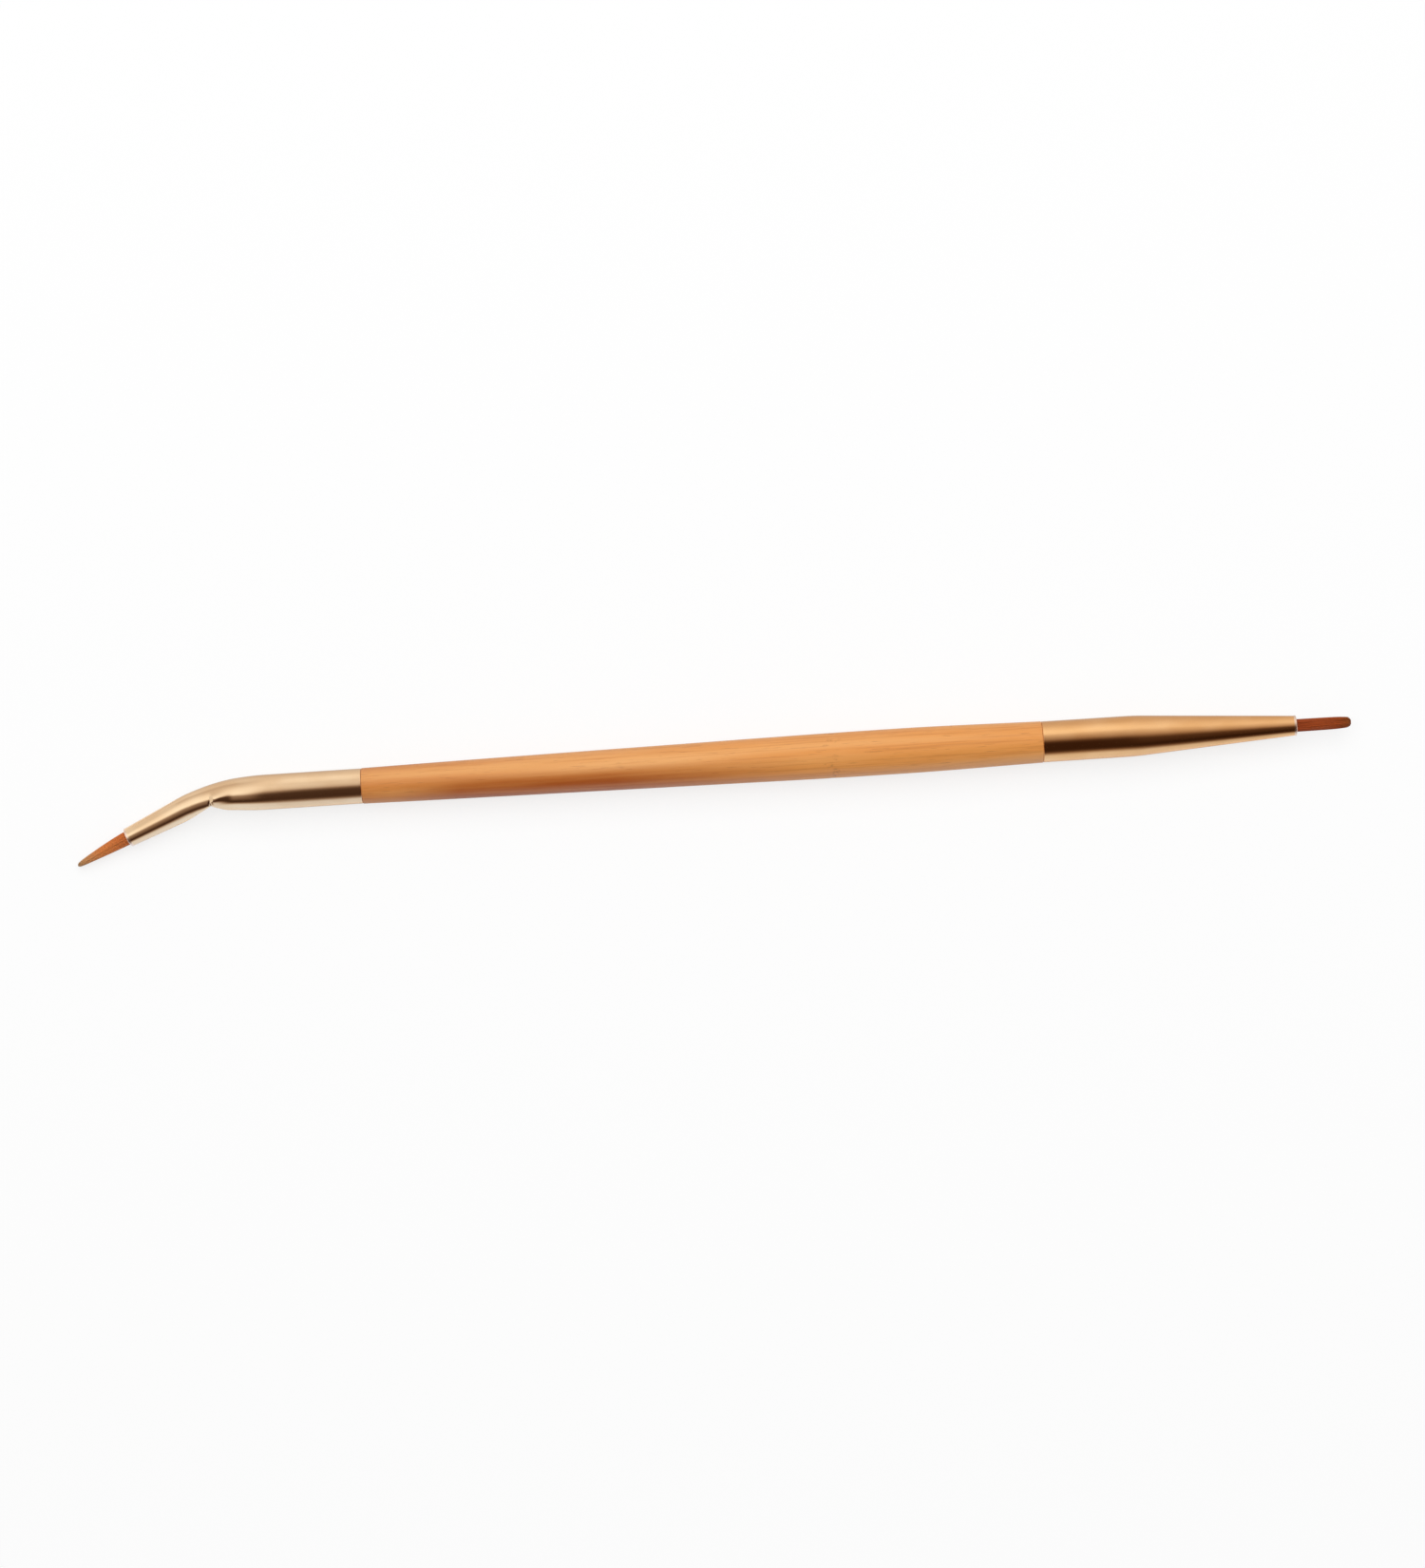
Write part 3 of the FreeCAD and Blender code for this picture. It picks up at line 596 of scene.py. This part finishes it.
def plated(name, light, deep):
    """Bright plating over fine drawing lines, clouded between a light and a deep colour, with painted
    shade in the fold's crease and a painted highlight on the mouth's rim.
    """
    finish, tree = new_finish(name)
    lines = stretched_noise(tree, 30.0, 0.09, 2.0, 0.6)
    cloud = stretched_noise(tree, 6.0, 3.0, 2.0, 0.5, 2.2)
    colour = blended(tree, between(tree, cloud, 0.35, 0.65), light, deep)
    # Painted shade: dark brown in the fold's crease.
    colour = blended(tree, read_mark(tree, "crease_shade_painted"), colour, PAINTED_CREASE_SHADE)
    # Painted highlight: a pale colour on the mouth's rim, which is also a little rougher there.
    rim_highlight = read_mark(tree, "painted_rim_highlight")
    colour = blended(tree, rim_highlight, colour, RIM_HIGHLIGHT_PAINT)
    roughness = add(tree, "ShaderNodeMath", between(tree, cloud, 0.3, 0.7, 0.08, 0.15),
                    times(tree, rim_highlight, 0.18)).outputs[0]
    bump = add(tree, "ShaderNodeBump", Strength=0.05, Distance=0.00001, Height=lines)
    metal = add(tree, "ShaderNodeBsdfPrincipled", Base_Color=colour, Metallic=1.0,
                Roughness=roughness, Normal=bump.outputs[0])
    add(tree, "ShaderNodeOutputMaterial", metal.outputs[0])
    return finish


def mark(mesh, name, values):
    """Keeps one value for each point of a tube, for its plating to read."""
    mesh.attributes.new(name, "FLOAT", "POINT").data.foreach_set("value", values)


# Where the mouth's rim takes its painted highlight.
def mark_rim_highlight(mesh, route, length):
    values = [eased((s - length + MOUTH_BEAD_LENGTH) / 0.1) for s, _ in route]
    mark(mesh, "painted_rim_highlight", [value for value in values for _ in range(ROUND_TUBE)])


champagne = plated("champagne_gold_plate", CHAMPAGNE, CHAMPAGNE_DEEP)
rings, route = tube_rings(bent_ring, bent_tube_length, fold_places())
tube = skin("bent_tube", rings, "joined")
# Painted shade: how much of the crease's dark colour each point takes, near the fold and on the inside
# of the bend.
values = []
for s, inset in route:
    near = max(1 - abs(s - fold_at) / 0.3, 0.0)
    for i in range(ROUND_TUBE):
        facing = eased(math.cos(2 * math.pi * i / ROUND_TUBE) * 2 + 0.6)
        values.append(0.75 * near * near * facing if inset == 0 else 0.0)
mark(tube, "crease_shade_painted", values)
mark_rim_highlight(tube, route, bent_tube_length)
lay("bent_ferrule_tube", tube, champagne, "brush_stick", "ferrule_metal", "bent_ferrule")


# ---------------------------------------------------------------- straight ferrule
# The same tube and plating, left straight: a plain cuff on the handle that runs through a soft
# shoulder into a long cone. Its mouth is rolled in to the hair, with a burnished edge.
CUFF_RADIUS, CUFF_LENGTH, CONE_LENGTH = 2.75, 12.4, 21.8
STRAIGHT_MOUTH_RADIUS = 1.31
SHOULDER_SOFTNESS = 1.25
LIP_LENGTH, LIP_SOFTNESS, LIP_THICKER = 0.35, 0.25, 0.55
WARM_GOLD, WARM_GOLD_DEEP = (0.960, 0.560, 0.260, 1), (0.880, 0.480, 0.200, 1)

straight_tube_length = CUFF_LENGTH + CONE_LENGTH


def straight_radius(s):
    fall = (CUFF_RADIUS - STRAIGHT_MOUTH_RADIUS) / CONE_LENGTH
    past = s - CUFF_LENGTH
    if past <= -SHOULDER_SOFTNESS:
        return CUFF_RADIUS
    if past < SHOULDER_SOFTNESS:
        return CUFF_RADIUS - fall * (past + SHOULDER_SOFTNESS) ** 2 / (4 * SHOULDER_SOFTNESS)
    return CUFF_RADIUS - fall * past + bead(straight_tube_length - s)


def straight_ring(s, inset):
    lip = eased((s - straight_tube_length + LIP_LENGTH + LIP_SOFTNESS) / LIP_SOFTNESS)
    radius = straight_radius(s) - inset * (1 + LIP_THICKER * lip)
    turns = [2 * math.pi * i / ROUND_TUBE for i in range(ROUND_TUBE)]
    return [(handle_length + s, radius * math.cos(t), radius * math.sin(t)) for t in turns]


places = [straight_tube_length * i / 90 for i in range(91)]
places += [straight_tube_length - MOUTH_BEAD_LENGTH * i / 8 for i in range(9)]
rings, route = tube_rings(straight_ring, straight_tube_length, sorted(places))
tube = skin("straight_tube", rings, "joined")
# The straight tube has no painted crease shade.
mark(tube, "crease_shade_painted", [0.0] * len(tube.vertices))
mark_rim_highlight(tube, route, straight_tube_length)
warm_gold = plated("warm_gold_plate", WARM_GOLD, WARM_GOLD_DEEP)
lay("straight_ferrule_tube", tube, warm_gold, "brush_stick", "ferrule_metal", "straight_ferrule")


# ---------------------------------------------------------------- resin and thread at the roots
# Each bundle of hair is tied with thread near its root end and set in resin inside its
# ferrule. All of it is out of sight, and keeps its plain shape.
resin, tree = new_finish("cured_resin")
cloud = stretched_noise(tree, 1.2, 0.8, 3.0, 0.6)
colour = blended(tree, cloud, (0.50, 0.36, 0.13, 1), (0.68, 0.54, 0.26, 1))
cast = add(tree, "ShaderNodeBsdfPrincipled", Base_Color=colour, Roughness=0.18)
add(tree, "ShaderNodeOutputMaterial", cast.outputs[0])
thread, tree = new_finish("white_thread")
twist = stretched_noise(tree, 0.05, 0.12, 2.0, 0.6)
colour = blended(tree, twist, (0.62, 0.60, 0.54, 1), (0.86, 0.84, 0.78, 1))
ply = add(tree, "ShaderNodeBump", Strength=0.5, Distance=0.00002, Height=twist)
spun = add(tree, "ShaderNodeBsdfPrincipled", Base_Color=colour, Roughness=0.8,
           Normal=ply.outputs[0])
add(tree, "ShaderNodeOutputMaterial", spun.outputs[0])
for end in ("bent", "straight"):
    refinish(f"{end}_tuft_resin", resin)
    refinish(f"{end}_tuft_tie", thread)


# ---------------------------------------------------------------- bent end's tuft
# Some hundreds of fine synthetic hairs, rust at the root and golden at the tip, shaped to a
# wedge that is thin in the plane of the bend and rounded across it. Their roots sit in the resin.
HAIR_THICKNESS, HAIR_TIP_THICKNESS = 0.070, 0.018
HAIR_COUNT = 620
HAIR_SIDES = 5
HAIR_PLACES = (-1.0, -0.12, 0.0, 0.1, 0.22, 0.36, 0.5, 0.62, 0.74, 0.84, 0.92, 0.97, 1.0)
HAIR_CLEARANCE = 0.02
BENT_TUFT_LENGTH, BENT_TUFT_SWEEP_DEG, BENT_ROOT_LENGTH = 7.9, 4.0, 6.0
BENT_TIP_HALF_THICKNESS, BENT_TIP_HALF_WIDTH = 0.25, 0.55
THINNING, ROUNDING = 1.4, 7.0
GOLDEN_ANGLE = math.pi * (3 - math.sqrt(5))
OUTER_HAIRS_SHORTER, SHORTER_BY_CHANCE = 0.05, 0.035
STRAY_SHARE, STRAY_SPREAD = 0.03, 0.15
LEAN = 0.035
TAPER_FROM, TAPER_POWER = 0.45, 1.3


def swept_line(x, length, sweep_deg):
    """Centre and heading of a tuft's middle line, drawn along +X from its mouth."""
    if x <= 0 or sweep_deg == 0:
        return Vector((x, 0, 0)), Vector((1, 0, 0))
    turn = math.radians(sweep_deg) * x / length
    radius = length / math.radians(sweep_deg)
    return (Vector((math.sin(turn), 1 - math.cos(turn), 0)) * radius,
            Vector((math.cos(turn), math.sin(turn), 0)))


def hair_bundle(name, chance, base, length, root, sweep_deg, half_y, half_z):
    """Mesh of separate tapered hairs. half_y and half_z give the bundle's half-sizes by share."""
    points, faces, shares, shades = [], [], [], []
    for h in range(HAIR_COUNT):
        out = math.sqrt((h + 0.5) / HAIR_COUNT)
        turn = h * GOLDEN_ANGLE + chance.uniform(-0.2, 0.2)
        y, z = out * math.cos(turn), out * math.sin(turn)
        own_length = 1 - OUTER_HAIRS_SHORTER * out ** 4 - SHORTER_BY_CHANCE * chance.random() ** 2
        shade = chance.random()
        stray = STRAY_SPREAD if chance.random() < STRAY_SHARE else 0.0
        lean_y, lean_z = chance.gauss(0, LEAN), chance.gauss(0, LEAN)
        first = len(points)
        for place in HAIR_PLACES:
            share = place * own_length if place > 0 else 0.0
            x = place * root if place < 0 else share * length
            centre, heading = swept_line(x, length, sweep_deg)
            across = Vector((-heading.y, heading.x, 0))
            thick = HAIR_THICKNESS
            if place > TAPER_FROM:
                tapered = ((place - TAPER_FROM) / (1 - TAPER_FROM)) ** TAPER_POWER
                thick += (HAIR_TIP_THICKNESS - HAIR_THICKNESS) * tapered
            spread = 1 + stray * max(place, 0) ** 2
            room_y = max(half_y(share) - thick / 2, 0.01) * spread
            room_z = max(half_z(share) - thick / 2, 0.01) * spread
            middle = (centre + across * ((y + lean_y * max(share, 0)) * room_y)
                      + Vector((0, 0, (z + lean_z * max(share, 0)) * room_z)))
            for side in range(HAIR_SIDES):
                a = 2 * math.pi * side / HAIR_SIDES
                way_out = across * math.cos(a) + Vector((0, 0, math.sin(a)))
                points.append(middle + way_out * thick / 2)
                shares.append(max(place, 0.0) * own_length)
                shades.append(shade)
        rows = len(HAIR_PLACES)
        for r in range(rows - 1):
            a, b = first + r * HAIR_SIDES, first + (r + 1) * HAIR_SIDES
            faces += [(a + i, a + (i + 1) % HAIR_SIDES, b + (i + 1) % HAIR_SIDES, b + i)
                      for i in range(HAIR_SIDES)]
        faces.append(tuple(first + i for i in reversed(range(HAIR_SIDES))))
        faces.append(tuple(first + (rows - 1) * HAIR_SIDES + i for i in range(HAIR_SIDES)))
    mesh = bpy.data.meshes.new(name)
    mesh.from_pydata(points, [], faces)
    mesh.shade_smooth()
    for key, values in (("along_hair", shares), ("hair_shade", shades)):
        mesh.attributes.new(key, "FLOAT", "POINT").data.foreach_set("value", values)
    return mesh


def hair_finish(name, root, middle, tip, tip_from):
    """Glossy synthetic hair, coloured along its length, each hair a little lighter or darker."""
    finish, tree = new_finish(name)
    along = read_mark(tree, "along_hair")
    own = read_mark(tree, "hair_shade")
    streak = stretched_noise(tree, 3.0, 0.25, 2.0, 0.6)
    colour = blended(tree, between(tree, along, 0.0, 0.45), root, middle)
    colour = blended(tree, between(tree, along, tip_from, 1.0), colour, tip)
    light = between(tree, own, 0.0, 1.0, 0.84, 1.12)
    light = times(tree, light, between(tree, streak, 0.3, 0.7, 0.95, 1.05))
    grey = add(tree, "ShaderNodeCombineColor", light, light, light)
    toned = add(tree, "ShaderNodeMix", settings={"data_type": "RGBA", "blend_type": "MULTIPLY"})
    toned.inputs[0].default_value = 1.0
    tree.links.new(colour, toned.inputs[6])
    tree.links.new(grey.outputs[0], toned.inputs[7])
    shaft = add(tree, "ShaderNodeBsdfPrincipled", Base_Color=toned.outputs[2], Roughness=0.42,
                Specular_IOR_Level=0.25)
    add(tree, "ShaderNodeOutputMaterial", shaft.outputs[0])
    return finish


def half_size(base, tip, power):
    return lambda share: base + (tip - base) * share ** power


bent_base = BENT_MOUTH_RADIUS - WALL - HAIR_CLEARANCE
hair = hair_bundle("bent_hair", random.Random(11), bent_base, BENT_TUFT_LENGTH, BENT_ROOT_LENGTH,
                   BENT_TUFT_SWEEP_DEG, half_size(bent_base, BENT_TIP_HALF_THICKNESS, THINNING),
                   half_size(bent_base, BENT_TIP_HALF_WIDTH, ROUNDING))
mouth, heading, _ = bent_line(bent_tube_length)
hair.transform(Matrix.Translation(mouth) @ Matrix.Rotation(math.pi + bend_rad, 4, "Z"))
two_tone = hair_finish("two_tone_hair", (0.600, 0.160, 0.036, 1), (0.680, 0.225, 0.056, 1),
                       (0.620, 0.360, 0.160, 1), 0.50)
tuft = lay("bent_tuft_hair", hair, two_tone, None, "two_tone_hair", "bent_tuft")
start, end = mouth + heading * 0.1, mouth + heading * BENT_TUFT_LENGTH
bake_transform(tuft)


# ---------------------------------------------------------------- straight end's tuft
# The same kind of hair, shorter, darker and blunter: wide in the plane of the bend, with its
# edge cut almost square and its corners rounded.
STRAIGHT_TUFT_RADIUS, STRAIGHT_TUFT_LENGTH, STRAIGHT_ROOT_LENGTH = 0.86, 7.4, 9.0
STRAIGHT_TIP_HALF_WIDTH, STRAIGHT_TIP_HALF_THICKNESS = 0.625, 0.3

hair = hair_bundle("straight_hair", random.Random(23), STRAIGHT_TUFT_RADIUS, STRAIGHT_TUFT_LENGTH,
                   STRAIGHT_ROOT_LENGTH, 0.0,
                   half_size(STRAIGHT_TUFT_RADIUS, STRAIGHT_TIP_HALF_WIDTH, ROUNDING),
                   half_size(STRAIGHT_TUFT_RADIUS, STRAIGHT_TIP_HALF_THICKNESS, THINNING))
mouth = Vector((handle_length + straight_tube_length, 0, 0))
hair.transform(Matrix.Translation(mouth))
rust = hair_finish("rust_hair", (0.330, 0.055, 0.009, 1), (0.360, 0.066, 0.011, 1),
                   (0.330, 0.085, 0.014, 1), 0.75)
tuft = lay("straight_tuft_hair", hair, rust, None, "rust_hair", "straight_tuft")
start, end = mouth + Vector((0.1, 0, 0)), mouth + Vector((STRAIGHT_TUFT_LENGTH, 0, 0))
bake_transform(tuft)
